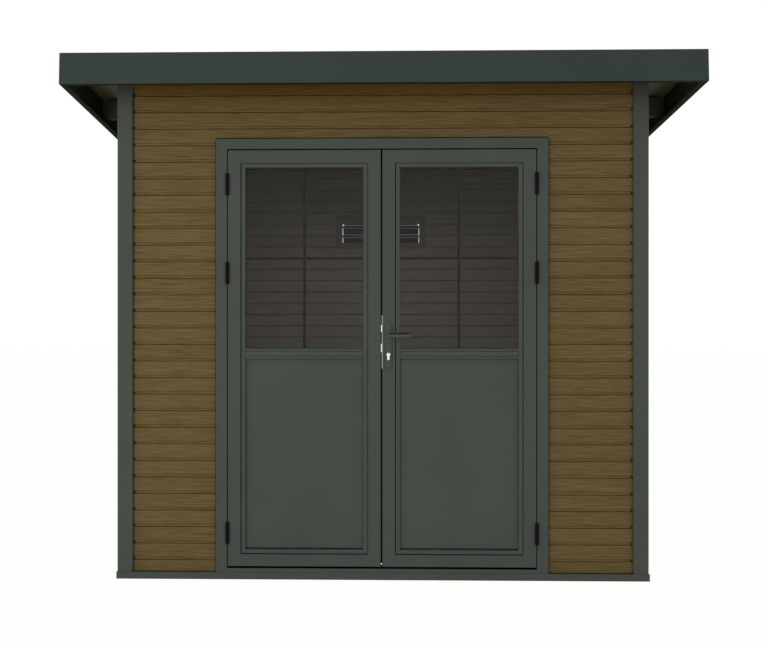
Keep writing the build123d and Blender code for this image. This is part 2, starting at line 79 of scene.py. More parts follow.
# Wall boards, in metres
BOARD_PITCH = 0.07854
FIRST_JOINT = 0.0862
BOARD_GAP = 0.0029
LIP_HEIGHT = 0.0110
LIP_SETBACK = 0.0032
LINE_HEIGHT = 0.0012
LINE_DEPTH = 0.0080
NOTCH_DEPTH = 0.0165
GAP_DEPTH = 0.0120
FACE_TOP_RADIUS = 0.0022
FACE_FOOT_RADIUS = 0.0008
INNER_GROOVE_WIDTH = 0.0050
INNER_GROOVE_DEPTH = 0.0100
END_NOTCH = 0.0085
BOARD_SEED = 7

# Stretch of the boards close under the roof that gets painted shade: its limits in height at the middle of
# the house
EAVE_SHADE_LOW = 2.16
EAVE_SHADE_HIGH = 2.25
EAVE_SHADE_TINT = (1.0, 0.80, 0.45, 1.0)
ROOF_FALL = 0.0612

# Floor planks
PLANK_COUNT = 17
PLANK_CHAMFER = 0.0018
PLANK_GAP = 0.0010

# Rubber seals and gaskets; widths of a ring go left, right, foot, top
SEAL_WIDTH = 0.0045
SEAL_DEPTH = 0.0060
SEAL_REVEAL = 0.0015
SEAL_BEVEL = 0.0006
HEAD_SEAL_HEIGHT = 0.0060
HEAD_SEAL_REVEAL = 0.0080
LEDGE_STRIP_DEPTH = 0.0100
LEDGE_STRIP_OFFSET = 0.0060
LEDGE_STRIP_HEIGHT = 0.0015
GAP_CLEARANCE = 0.0015
LEFT_MEETING_EDGE = 0.0010
RIGHT_MEETING_EDGE = 0.0016
# The outer gasket is wider on the left and at the foot, which adds painted shade to the real gasket lines
OUTER_GASKET_AND_SHADE = (0.0036, 0.0024, 0.0036, 0.0016)
TRANSOM_GASKET_WIDTH = 0.0028
BEAD_LINE_WIDTH = 0.0014
LINE_REVEAL = 0.0003
# Height of a black strip along the panel's foot: painted shade
PANEL_FOOT_SHADE_HEIGHT = 0.0040

# Glazing bars
BAR_WIDTH = 0.0120
BAR_DEPTH = 0.0100
BAR_BEVEL = 0.0025
BAR_GAP = 0.0010

# Lock details
STRIP_SPAN = (0.0003, 0.0062)
STRIP_REVEAL = 0.0012
BOLT_SPAN = (-0.0024, 0.0020)
BOLT_REVEAL = 0.0003
BOLT_DEPTH = 0.0100
KEY_SLOT = (0.0014, 0.0075)
KEY_SLOT_REVEAL = 0.0003
FLUSH_BOLT_HEIGHT = 0.0757
FLUSH_BOLT_SIZE = 0.0070
FLUSH_BOLT_SETBACK = 0.0005
FLUSH_BOLT_CROWN_SHARE = 0.9
FLUSH_BOLT_EDGE_SHARE = 0.25
# Dark strip along the lever's upper edge: painted shade
LEVER_SHADE_HEIGHT = 0.0058
LEVER_SHADE_REVEAL = 0.0004
LEVER_SHADE_INSET = 0.0120
LEVER_SHADE_DEPTH = 0.0100

# Louvre blades of the vent, with a folded lip on the room side
BLADE_COUNT = 2
LIP_FACE = 0.0220
BLADE_PITCH = 0.0640
BLADE_HEAD = 0.0150
BLADE_THICKNESS = 0.0015
SHEET_BEVEL = BLADE_THICKNESS / 4
BLADE_END_GAP = 0.0030
BLADE_FOOT_GAP = 0.0010
TAB_DROP = 0.0060
TAB_HEIGHT = 0.0130
TAB_THICKNESS = 2 * BLADE_THICKNESS
# Near-white strips along the lip's upper and lower edges: painted highlights
UPPER_HIGHLIGHT = 0.0045
LOWER_HIGHLIGHT = 0.0030
VENT_SLEEVE = 0.0030
HIGHLIGHT_REVEAL = 0.0012
CORNER_WIDTH = 0.0090
CORNER_HEIGHT = 0.0070

# Roof sheet, its screws and its foam
SHEET_THICKNESS = 0.0012
END_REACH = 0.0100
FOAM_GAP = 0.0005
FOAM_LENGTH = 0.0300
SCREW_SIDES = 12
SCREW_CROWN_SHARE = 0.8
ROOF_SCREW_RADIUS = 0.0050
ROOF_WASHER_RADIUS = 0.0085
ROOF_SCREW_HEIGHT = 0.0045
ROOF_WASHER_HEIGHT = 0.0015

# Tolerances for points that are read from the frame
SAME_PLACE = 0.0002
SAME_POINT = 0.000001
EDGE_TOLERANCE = 0.0001
EDGE_MARGIN = 0.0010

# Light levels: a surface that faces the camera renders about as its colour is written
SKY_STRENGTH = 0.79
LAMP_POWER = 92.0
LAMP_SIZE = 3.0
LAMP_PLACE = (-3.8, -6.5, 2.2)
LAMP_TARGET = (0.0, -1.2, 1.2)
ROOM_LAMP_POWER = 4.4
ROOM_LAMP_SIZE = 1.2
ROOM_LAMP_PLACE = (0.0, -0.2, 2.08)
ROOM_LAMP_TARGET = (0.0, -0.2, 0.0)
FLOOR_SHADE = (0.90, 0.83, 0.72, 1.0)
FLOOR_WHITE = 0.97
FLOOR_REACH = 40.0


# Materials


def linear(red, green, blue):
    """A display colour from 0 to 255 as scene-linear colour."""
    parts = []
    for value in (red, green, blue):
        share = value / 255
        parts.append(share / 12.92 if share <= 0.04045 else ((share + 0.055) / 1.055) ** 2.4)
    return (*parts, 1.0)


def empty_tree(owner):
    """The node tree of a new material or world, with nothing in it."""
    owner.use_nodes = True
    owner.node_tree.nodes.clear()
    return owner.node_tree


class Finish:
    """A new material with one principled shader, and short calls that add nodes to it."""

    def __init__(self, name):
        self.material = bpy.data.materials.new(name)
        self.tree = empty_tree(self.material)
        output = self.add("ShaderNodeOutputMaterial")
        self.shader = self.add("ShaderNodeBsdfPrincipled")
        self.link(self.shader.outputs["BSDF"], output.inputs["Surface"])

    def add(self, kind, **settings):
        node = self.tree.nodes.new(kind)
        for name, value in settings.items():
            setattr(node, name, value)
        return node

    def link(self, source, target):
        self.tree.links.new(source, target)

    def set(self, **values):
        """Constants on the shader's own sockets, by socket name with underscores for spaces."""
        for name, value in values.items():
            self.shader.inputs[name.replace("_", " ")].default_value = value

    def feed(self, name, source):
        self.link(source, self.shader.inputs[name])

    def place(self):
        """Coordinates in metres, in the house's own frame."""
        return self.add("ShaderNodeTexCoord").outputs["Object"]

    def stretched(self, vector, scales):
        node = self.add("ShaderNodeVectorMath", operation="MULTIPLY")
        node.inputs[1].default_value = scales
        self.link(vector, node.inputs[0])
        return node.outputs["Vector"]

    def noise(self, vector, scale=1.0, detail=3.0, roughness=0.55):
        node = self.add("ShaderNodeTexNoise")
        node.inputs["Scale"].default_value = scale
        node.inputs["Detail"].default_value = detail
        node.inputs["Roughness"].default_value = roughness
        self.link(vector, node.inputs["Vector"])
        return node.outputs["Fac"]

    def weighted(self, first, second, share):
        """The mean of two values, with the second one's share."""
        node = self.add("ShaderNodeMix", data_type="FLOAT")
        node.inputs["Factor"].default_value = share
        self.link(first, node.inputs["A"])
        self.link(second, node.inputs["B"])
        return node.outputs["Result"]

    def ramp(self, factor, places, colours):
        """Display colours by factor, each at its place from 0 to 1."""
        node = self.add("ShaderNodeValToRGB")
        elements = node.color_ramp.elements
        while len(elements) < len(places):
            elements.new(0.5)
        for element, place, colour in zip(elements, places, colours):
            element.position = place
            element.color = linear(*colour)
        self.link(factor, node.inputs["Fac"])
        return node.outputs["Color"]

    def levels(self, factor, low, high):
        """A grey value between two levels."""
        node = self.add("ShaderNodeMapRange")
        node.inputs["To Min"].default_value = low
        node.inputs["To Max"].default_value = high
        self.link(factor, node.inputs["Value"])
        return node.outputs["Result"]

    def eave_shaded(self, colour, eave_shade):
        """Painted shade under the eaves: the colour darkened by a warm tint close under the roof."""
        height = self.add("ShaderNodeVectorMath", operation="DOT_PRODUCT")
        height.inputs[1].default_value = (0.0, ROOF_FALL, 1.0)
        self.link(self.place(), height.inputs[0])
        share = self.add("ShaderNodeMapRange")
        share.inputs["From Min"].default_value = EAVE_SHADE_LOW
        share.inputs["From Max"].default_value = EAVE_SHADE_HIGH
        self.link(height.outputs["Value"], share.inputs["Value"])
        mix = self.add("ShaderNodeMix", data_type="RGBA", blend_type="MULTIPLY")
        mix.inputs["B"].default_value = eave_shade
        self.link(share.outputs["Result"], mix.inputs["Factor"])
        self.link(colour, mix.inputs["A"])
        return mix.outputs["Result"]

    def bump(self, height, distance, strength=1.0, edge_radius=0.0):
        """Fine relief, over edges that are softened by a small radius."""
        node = self.add("ShaderNodeBump")
        node.inputs["Distance"].default_value = distance
        node.inputs["Strength"].default_value = strength
        self.link(height, node.inputs["Height"])
        if edge_radius:
            edge = self.add("ShaderNodeBevel", samples=4)
            edge.inputs["Radius"].default_value = edge_radius
            self.link(edge.outputs["Normal"], node.inputs["Normal"])
        self.feed("Normal", node.outputs["Normal"])


# Grain of wood: scales along a board, round its section and over the draws, and shares in the pattern
STREAK_SCALES = (8.0, 270.0, 31.0)
FIBRE_SCALES = (18.0, 620.0, 31.0)
DRIFT_SCALES = (1.2, 6.0, 57.0)
FIBRE_SHARE = 0.30
DRIFT_SHARE = 0.12

# Brushing of bare steel and smears on glass: scales across, in depth and in height
BRUSH_SCALES = (900.0, 900.0, 30.0)
SMEAR_SCALES = (6.0, 6.0, 2.0)

# Places of the tones in a pattern, from dark to light
WOOD_PLACES = (0.35, 0.50, 0.65)
TONE_PLACES = (0.30, 0.70)
BRUSH_PLACES = (0.25, 0.75)
BLOOM_PLACES = (0.35, 0.75)

# Radii of softened paint edges
PAINT_EDGE = 0.0012
FINE_EDGE = 0.0006
SHEET_EDGE = 0.0004


def wood_finish(name, dark, middle, light, gloss, eave_shade=None):
    """Brushed boards: long streaks and fine fibres along the board, each board with its own draw."""
    finish = Finish(name)
    grain = finish.add("ShaderNodeAttribute", attribute_name="grain").outputs["Vector"]
    streaks = finish.noise(finish.stretched(grain, STREAK_SCALES))
    fibres = finish.noise(finish.stretched(grain, FIBRE_SCALES), detail=2.0, roughness=0.5)
    drift = finish.noise(finish.stretched(grain, DRIFT_SCALES), detail=1.0, roughness=0.5)
    pattern = finish.weighted(finish.weighted(streaks, fibres, FIBRE_SHARE), drift, DRIFT_SHARE)
    colour = finish.ramp(pattern, WOOD_PLACES, (dark, middle, light))
    # Painted shade: boards close under the roof get a darker, warmer tone.
    finish.feed("Base Color", finish.eave_shaded(colour, eave_shade) if eave_shade else colour)
    finish.feed("Roughness", finish.levels(fibres, low=0.42, high=0.54))
    finish.set(Specular_IOR_Level=gloss)
    finish.bump(pattern, distance=0.0007, strength=0.6)
    return finish.material


def paint_finish(name, dark, light, gloss, roughness, edge_radius=PAINT_EDGE):
    """Satin paint on metal: a slow drift in tone, a fine orange-peel relief and softened edges."""
    finish = Finish(name)
    place = finish.place()
    drift = finish.noise(place, scale=3.0)
    peel = finish.noise(place, scale=900.0, detail=1.0)
    finish.feed("Base Color", finish.ramp(drift, TONE_PLACES, (dark, light)))
    finish.feed("Roughness", finish.levels(peel, low=roughness - 0.06, high=roughness + 0.06))
    finish.set(Specular_IOR_Level=gloss)
    finish.bump(peel, distance=0.00006, strength=0.5, edge_radius=edge_radius)
    return finish.material


def two_tone_and_shade_finish(name, front, rear, gloss, axis, limit):
    """Coated sheet metal with two pairs of tones.

    Faces whose normal passes the limit along the axis take the front tones, the rest the dull rear ones. On
    the roof sheet and the vent the rear tones are a second coat; on the fascia and purlins the darker tones
    of faces that point down are painted shade.
    """
    finish = Finish(name)
    place = finish.place()
    drift = finish.noise(place, scale=2.2, detail=4.0)
    peel = finish.noise(place, scale=600.0, detail=1.0)
    front_tone = finish.ramp(drift, TONE_PLACES, front)
    rear_tone = finish.ramp(drift, TONE_PLACES, rear)
    normal = finish.add("ShaderNodeSeparateXYZ")
    finish.link(finish.add("ShaderNodeNewGeometry").outputs["Normal"], normal.inputs["Vector"])
    facing = finish.add("ShaderNodeMath", operation="GREATER_THAN")
    facing.inputs[1].default_value = limit
    mix = finish.add("ShaderNodeMix", data_type="RGBA")
    finish.link(normal.outputs[axis], facing.inputs[0])
    finish.link(facing.outputs["Value"], mix.inputs["Factor"])
    finish.link(rear_tone, mix.inputs["A"])
    finish.link(front_tone, mix.inputs["B"])
    finish.feed("Base Color", mix.outputs["Result"])
    dull = finish.add("ShaderNodeMix", data_type="FLOAT")
    dull.inputs["A"].default_value = 1.0
    finish.link(facing.outputs["Value"], dull.inputs["Factor"])
    finish.link(finish.levels(peel, low=0.46, high=0.58), dull.inputs["B"])
    finish.feed("Roughness", dull.outputs["Result"])
    finish.set(Specular_IOR_Level=gloss)
    finish.bump(peel, distance=0.00005, strength=0.5)
    return finish.material


def metal_finish(name, dark, light, roughness):
    """Bare steel with fine brushing along its height."""
    finish = Finish(name)
    brushing = finish.noise(finish.stretched(finish.place(), BRUSH_SCALES), detail=2.0)
    finish.feed("Base Color", finish.ramp(brushing, BRUSH_PLACES, (dark, light)))
    finish.feed("Roughness", finish.levels(brushing, low=roughness - 0.08, high=roughness + 0.08))
    finish.set(Metallic=1.0)
    finish.bump(brushing, distance=0.00003, strength=0.4)
    return finish.material


def rubber_finish(name, dark, light):
    """Matt black rubber with a slight bloom."""
    finish = Finish(name)
    place = finish.place()
    bloom = finish.noise(place, scale=60.0)
    pores = finish.noise(place, scale=1500.0, detail=1.0)
    finish.feed("Base Color", finish.ramp(bloom, BLOOM_PLACES, (dark, light)))
    finish.feed("Roughness", finish.levels(pores, low=0.75, high=0.92))
    finish.set(Specular_IOR_Level=0.05)
    finish.bump(pores, distance=0.00005, strength=0.4)
    return finish.material


def glass_finish(name, tint_low, tint_high, sheen):
    """Clear pane with a faint uneven tint and a weak reflection."""
    finish = Finish(name)
    smear = finish.noise(finish.stretched(finish.place(), SMEAR_SCALES))
    finish.feed("Base Color", finish.ramp(smear, TONE_PLACES, (tint_low, tint_high)))
    finish.set(Roughness=0.0, IOR=1.22, Transmission_Weight=1.0, Specular_Tint=sheen)
    return finish.material


# The outer boards carry painted shade close under the roof.
board_wood = wood_finish("board_wood", (83, 67, 37), (99, 84, 51), (112, 98, 67), 0.10, EAVE_SHADE_TINT)
inner_wood = wood_finish("inner_wood", (131, 121, 112), (150, 140, 131), (164, 154, 145), gloss=0.2)
floor_wood = wood_finish("floor_wood", (104, 84, 58), (126, 104, 74), (143, 120, 88), gloss=0.25)
grey_paint = paint_finish("grey_paint", (64, 71, 65), (68, 75, 69), gloss=0.2, roughness=0.40)
black_paint = paint_finish("black_paint", (4, 6, 4), (8, 11, 8), 0.08, 0.5, FINE_EDGE)
bar_paint = paint_finish("bar_paint", (12, 12, 10), (17, 17, 14), 0.1, 0.5, FINE_EDGE)
blade_paint = paint_finish("blade_paint", (62, 62, 63), (69, 69, 70), 0.15, 0.6, SHEET_EDGE)
# Near-white paint for the painted highlights on the louvre lips.
highlight_paint = paint_finish("highlight_paint", (226, 226, 222), (238, 238, 234), 0.3, 0.4, SHEET_EDGE)
rail_paint = paint_finish("rail_paint", (122, 115, 109), (132, 125, 118), 0.15, 0.5, FINE_EDGE)
# Painted shade: the fascia's faces that point down take darker tones.
fascia_coat_shaded_below = two_tone_and_shade_finish(
    "fascia_coat_shaded_below", ((47, 57, 53), (51, 61, 57)), ((30, 32, 25), (36, 38, 30)), 0.16, axis="Z", limit=-0.5
)
roof_coat = two_tone_and_shade_finish(
    "roof_coat", ((50, 57, 54), (57, 64, 61)), ((101, 106, 92), (111, 116, 102)), 0.12, axis="Z", limit=0.0
)
# Painted shade: the purlins' faces that point down take darker tones.
purlin_coat_shaded_below = two_tone_and_shade_finish(
    "purlin_coat_shaded_below", ((74, 79, 68), (83, 88, 77)), ((60, 64, 54), (67, 71, 61)), 0.15, axis="Z", limit=-0.5
)
vent_coat = two_tone_and_shade_finish(
    "vent_coat", ((64, 71, 65), (68, 75, 69)), ((121, 117, 112), (130, 126, 121)), 0.15, axis="Y", limit=0.5
)
lock_steel = metal_finish("lock_steel", (238, 240, 238), (252, 254, 252), roughness=0.24)
zinc = metal_finish("zinc", (122, 128, 122), (146, 152, 146), roughness=0.38)
rubber = rubber_finish("rubber", (4, 5, 4), (8, 9, 8))
seal_and_shade_grey = rubber_finish("seal_and_shade_grey", (26, 29, 26), (34, 37, 34))
jamb_grey = rubber_finish("jamb_grey", (44, 48, 44), (52, 56, 52))
clear_glass = glass_finish("clear_glass", (244, 247, 244), (249, 252, 249), sheen=(1.0, 0.97, 0.87, 1.0))


# Mesh helpers


def make_piece(name, mesh, materials, body, slot, *stands_for):
    """Puts a finished bmesh in the scene as a piece that moves with a body."""
    bmesh.ops.recalc_face_normals(mesh, faces=mesh.faces)
    data = bpy.data.meshes.new(name)
    mesh.to_mesh(data)
    mesh.free()
    for material in materials:
        data.materials.append(material)
    piece = bpy.data.objects.new(name, data)
    bpy.context.scene.collection.objects.link(piece)
    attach(piece, body)
    if stands_for:
        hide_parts(*stands_for)
    return piece


def add_bar(mesh, low, high, bevel):
    """A bar between two corners, with rounded edges."""
    low, high = Vector(low), Vector(high)
    made = bmesh.ops.create_cube(mesh, size=1.0)["verts"]
    for vert in made:
        vert.co = Vector((a + b) / 2 + (b - a) * c for a, b, c in zip(low, high, vert.co))
    edges = list(dict.fromkeys(edge for vert in made for edge in vert.link_edges))
    bmesh.ops.bevel(mesh, geom=edges, offset=bevel, segments=2, profile=0.5, affect="EDGES")


def add_ring(mesh, span_x, span_z, widths, span_y):
    """A rectangular ring that faces the front, inside the given outline; widths: left, right, foot, top."""
    left, right, foot, top = widths
    outlines = (
        (span_x[0], span_x[1], span_z[0], span_z[1]),
        (span_x[0] + left, span_x[1] - right, span_z[0] + foot, span_z[1] - top),
    )
    loops = []
    for x0, x1, z0, z1 in outlines:
        for y in span_y:
            corners = ((x0, z0), (x1, z0), (x1, z1), (x0, z1))
            loops.append([mesh.verts.new((x, y, z)) for x, z in corners])
    outer_front, outer_back, inner_front, inner_back = loops
    for one, other in (
        (outer_front, outer_back),
        (outer_back, inner_back),
        (inner_back, inner_front),
        (inner_front, outer_front),
    ):
        for index in range(4):
            after = (index + 1) % 4
            mesh.faces.new((one[index], one[after], other[after], other[index]))


def close_prism(mesh, rings):
    """Sides and ends between two rings of as many points."""
    count = len(rings[0])
    for index in range(count):
        after = (index + 1) % count
        mesh.faces.new((rings[0][index], rings[0][after], rings[1][after], rings[1][index]))
    for ring in rings:
        mesh.faces.new(ring)


def add_turned(mesh, centre, axis, outline, segments):
    """A small turned solid: rings of (radius, distance along the axis)."""
    axis = Vector(axis).normalized()
    side = axis.orthogonal().normalized()
    other = axis.cross(side)
    rings = []
    for radius, along in outline:
        ring = []
        for index in range(segments):
            angle = 2 * math.pi * index / segments
            reach = side * math.cos(angle) + other * math.sin(angle)
            ring.append(mesh.verts.new(Vector(centre) + axis * along + reach * radius))
        rings.append(ring)
    for low, high in zip(rings, rings[1:]):
        for index in range(segments):
            after = (index + 1) % segments
            mesh.faces.new((low[index], low[after], high[after], high[index]))
    mesh.faces.new(rings[0])
    mesh.faces.new(rings[-1])


def clipped(section, low, high):
    """A section of (depth, height) points, cut to a range of heights."""
    for limit, sign in ((low, 1), (high, -1)):
        kept = []
        for start, end in zip(section, section[1:] + section[:1]):
            start_in = (start[1] - limit) * sign >= 0
            end_in = (end[1] - limit) * sign >= 0
            if start_in:
                kept.append(start)
            if start_in != end_in:
                share = (limit - start[1]) / (end[1] - start[1])
                kept.append((start[0] + share * (end[0] - start[0]), limit))
        section = kept
    return section


def add_prism(mesh, section, place, start, end, seed, inner_depth=math.inf):
    """A section drawn out along a wall, with grain coordinates: along, round the section, and seed.

    Faces that lie deeper than inner_depth take the piece's second material.
    """
    grain = mesh.verts.layers.float_vector["grain"]
    around = 0.0
    rings = ([], [])
    previous = section[-1]
    for point in section:
        around += math.dist(point, previous)
        previous = point
        for ring, along in zip(rings, (start, end)):
            vert = mesh.verts.new(place(point[0], along, point[1]))
            vert[grain] = (along, around, seed)
            ring.append(vert)
    count = len(section)
    for index in range(count):
        after = (index + 1) % count
        face = mesh.faces.new((rings[0][index], rings[0][after], rings[1][after], rings[1][index]))
        if min(section[index][0], section[after][0]) > inner_depth:
            face.material_index = 1
    mesh.faces.new(rings[0])
    mesh.faces.new(rings[1])


def corner_arc(centre, radius, start, turns):
    """Points on a quarter circle, with angles in degrees from the inward direction."""
    angles = [math.radians(start + 90 * step / turns) for step in range(turns + 1)]
    return [(centre[0] + radius * math.cos(a), centre[1] + radius * math.sin(a)) for a in angles]


def new_board_mesh():
    mesh = bmesh.new()
    mesh.verts.layers.float_vector.new("grain")
    return mesh


# Board walls


def board_section(joint, thickness, with_lip):
    """One board from its lower joint up: lip, proud face, and a joint line on the inner side."""
    foot = joint + BOARD_GAP / 2
    step = foot + LIP_HEIGHT
    crown = joint + BOARD_PITCH - BOARD_GAP / 2
    above = joint + BOARD_PITCH
    groove = thickness - INNER_GROOVE_DEPTH
    lip_depth, line_depth = (LIP_SETBACK, LINE_DEPTH) if with_lip else (NOTCH_DEPTH, NOTCH_DEPTH)
    face_foot = corner_arc((FACE_FOOT_RADIUS, step + FACE_FOOT_RADIUS), FACE_FOOT_RADIUS, 180, 2)
    face_top = corner_arc((FACE_TOP_RADIUS, crown - FACE_TOP_RADIUS), FACE_TOP_RADIUS, 90, 3)
    return [
        (GAP_DEPTH + FACE_TOP_RADIUS, foot),
        (lip_depth, foot),
        (lip_depth, step - LINE_HEIGHT),
        (line_depth, step - LINE_HEIGHT),
        (line_depth, step),
        *reversed(face_foot),
        *reversed(face_top),
        (GAP_DEPTH, crown),
        (GAP_DEPTH, above),
        (groove, above),
        (thickness, above - INNER_GROOVE_WIDTH),
        (thickness, joint + INNER_GROOVE_WIDTH),
        (groove, joint),
        (GAP_DEPTH + FACE_TOP_RADIUS, joint),
    ]


def rows_of_boards(foot, top):
    """Heights of the joints under each row of boards that shows between two heights."""
    below = math.ceil((FIRST_JOINT - foot) / BOARD_PITCH)
    joint = FIRST_JOINT - below * BOARD_PITCH
    while joint < top:
        yield joint
        joint += BOARD_PITCH


def same_section(one, other):
    return len(one) == len(other) and all(math.dist(a, b) < SAME_POINT for a, b in zip(one, other))


def row_stretches(section, columns):
    """Stretches of one row with their sections; columns are (start, end, [(low, high), ...])."""
    stretches = []
    for start, end, ranges in columns:
        for low, high in ranges:
            part = clipped(section, low, high)
            if len(part) < 3:
                continue
            last = stretches[-1] if stretches else None
            if last and last[1] == start and same_section(last[2], part):
                last[1] = end
            else:
                stretches.append([start, end, part])
    return stretches


def board_wall(place, thickness, columns, ends, seed):
    """All boards of a wall. Near the posts the lip is cut away, which leaves a small notch."""
    draw = random.Random(seed)
    mesh = new_board_mesh()
    inner_depth = (NOTCH_DEPTH + thickness - INNER_GROOVE_DEPTH) / 2
    foot = min(low for _, _, ranges in columns for low, _ in ranges)
    top = max(high for _, _, ranges in columns for _, high in ranges)
    wall_start, wall_end = columns[0][0], columns[-1][1]
    inner_columns = [list(column) for column in columns]
    inner_columns[0][0] = ends[0]
    inner_columns[-1][1] = ends[1]
    for joint in rows_of_boards(foot, top):
        tone = draw.random()
        full = board_section(joint, thickness, True)
        notched = board_section(joint, thickness, False)
        for start, end, part in row_stretches(full, inner_columns):
            add_prism(mesh, part, place, start, end, tone, inner_depth)
        for start, end, column in (
            (wall_start, ends[0], columns[0]),
            (ends[1], wall_end, columns[-1]),
        ):
            for start, end, part in row_stretches(notched, [(start, end, column[2])]):
                add_prism(mesh, part, place, start, end, tone, inner_depth)
    return mesh


def cut_above(mesh, point, normal):
    """Cuts away what lies beyond a plane and closes the cut."""
    geometry = mesh.verts[:] + mesh.edges[:] + mesh.faces[:]
    made = bmesh.ops.bisect_plane(mesh, geom=geometry, plane_co=point, plane_no=normal, clear_outer=True)
    edges = [item for item in made["geom_cut"] if isinstance(item, bmesh.types.BMEdge)]
    bmesh.ops.edgeloop_fill(mesh, edges=edges)


def node_points(name):
    return [vert.co.copy() for vert in nodes[name].data.vertices]


front_left_low, front_left_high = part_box("front_left_wall")
front_right_low, front_right_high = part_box("front_right_wall")
over_door_low, over_door_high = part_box("wall_over_door")
left_wall_low, left_wall_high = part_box("left_wall")
right_wall_low, right_wall_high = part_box("right_wall")
back_low, back_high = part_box("back_wall_lower")
vent_side_low, vent_side_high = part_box("back_wall_beside_vent")
upper_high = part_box("back_wall_upper")[1]
front_post_low, front_post_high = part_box("front_right_post")
wall_thickness = front_left_high.y - front_left_low.y
wall_foot = front_left_low.z
post_inside = front_post_low.x
notch_place = post_inside - END_NOTCH

front_range = [(wall_foot, front_left_high.z)]
front_mesh = board_wall(
    lambda depth, along, height: (along, front_left_low.y + depth, height),
    wall_thickness,
    [
        (front_left_low.x, front_left_high.x, front_range),
        (over_door_low.x, over_door_high.x, [(over_door_low.z, over_door_high.z)]),
        (front_right_low.x, front_right_high.x, front_range),
    ],
    (-notch_place, notch_place),
    BOARD_SEED,
)
make_piece(
    "front_boards", front_mesh, [board_wood, inner_wood], "house", "wall_boards",
    "front_left_wall", "front_right_wall", "wall_over_door",
)

vent_gap = sorted(point.x for point in node_points("back_wall_beside_vent"))
vent_left = max(x for x in vent_gap if x < 0)
vent_right = min(x for x in vent_gap if x > 0)
back_range = [(wall_foot, upper_high.z)]
back_mesh = board_wall(
    lambda depth, along, height: (along, back_high.y - depth, height),
    wall_thickness,
    [
        (back_low.x, vent_left, back_range),
        (vent_left, vent_right, [(wall_foot, vent_side_low.z), (vent_side_high.z, upper_high.z)]),
        (vent_right, back_high.x, back_range),
    ],
    (-notch_place, notch_place),
    BOARD_SEED + 1,
)
make_piece(
    "back_boards", back_mesh, [board_wood, inner_wood], "house", "wall_boards",
    "back_wall_lower", "back_wall_beside_vent", "back_wall_upper",
)


def purlin_notches():
    """For each purlin, its span from front to back and its lowest height."""
    notches = []
    for point in sorted(node_points("roof_purlins"), key=lambda p: p.y):
        if notches and point.y - notches[-1][1] < front_post_high.x - post_inside:
            notches[-1][1] = point.y
            notches[-1][2] = min(notches[-1][2], point.z)
        else:
            notches.append([point.y, point.y, point.z])
    return notches


def side_columns(wall_low, wall_high):
    """Full-height stretches between the purlins, and lower ones under them."""
    columns = []
    reached = wall_low.y
    for start, end, underside in purlin_notches():
        columns.append((reached, start, [(wall_foot, wall_high.z)]))
        columns.append((start, end, [(wall_foot, underside)]))
        reached = end
    columns.append((reached, wall_high.y, [(wall_foot, wall_high.z)]))
    return columns


def side_wall(name, node, wall_low, wall_high, outside, inward, seed):
    points = node_points(node)
    front_top = max(p.z for p in points if p.y < wall_low.y + wall_thickness)
    back_top = max(p.z for p in points if p.y > wall_high.y - wall_thickness)
    fall = (front_top - back_top) / (wall_high.y - wall_low.y)
    mesh = board_wall(
        lambda depth, along, height: (outside + inward * depth, along, height),
        wall_thickness,
        side_columns(wall_low, wall_high),
        (-notch_place, notch_place),
        seed,
    )
    cut_above(mesh, (0.0, wall_low.y, front_top), Vector((0.0, fall, 1.0)))
    make_piece(name, mesh, [board_wood, inner_wood], "house", "wall_boards", node)


left_wall_face = left_wall_low.x
side_face = right_wall_high.x
side_wall("left_boards", "left_wall", left_wall_low, left_wall_high, left_wall_face, 1, BOARD_SEED + 2)
side_wall("right_boards", "right_wall", right_wall_low, right_wall_high, side_face, -1, BOARD_SEED + 3)


# Floor planks, front to back, in place of the plain deck

deck_low, deck_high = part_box("floor_deck")


def floor_planks():
    draw = random.Random(BOARD_SEED + 4)
    mesh = new_board_mesh()
    width = (deck_high.x - deck_low.x) / PLANK_COUNT
    for index in range(PLANK_COUNT):
        left = deck_low.x + index * width + PLANK_GAP / 2
        right = left + width - PLANK_GAP
        section = [
            (left, deck_low.z),
            (right, deck_low.z),
            (right, deck_high.z - PLANK_CHAMFER),
            (right - PLANK_CHAMFER, deck_high.z),
            (left + PLANK_CHAMFER, deck_high.z),
            (left, deck_high.z - PLANK_CHAMFER),
        ]
        add_prism(mesh, section, lambda *place: place, deck_low.y, deck_high.y, draw.random())
    make_piece("floor_planks", mesh, [floor_wood], "house", "floor_boards", "floor_deck")


floor_planks()


# Seals between boards, posts and door frame

right_jamb_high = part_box("door_right_jamb")[1]
head_low, head_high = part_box("door_head")
threshold_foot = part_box("door_threshold")[0].z
base_top = wall_foot
board_face = front_left_low.y
back_face = back_high.y


def add_strip(mesh, span_x, span_y):
    """A flat strip on the ledge of the base."""
    low = (span_x[0], span_y[0], base_top)
    high = (span_x[1], span_y[1], base_top + LEDGE_STRIP_HEIGHT)
    add_bar(mesh, low, high, SEAL_BEVEL)


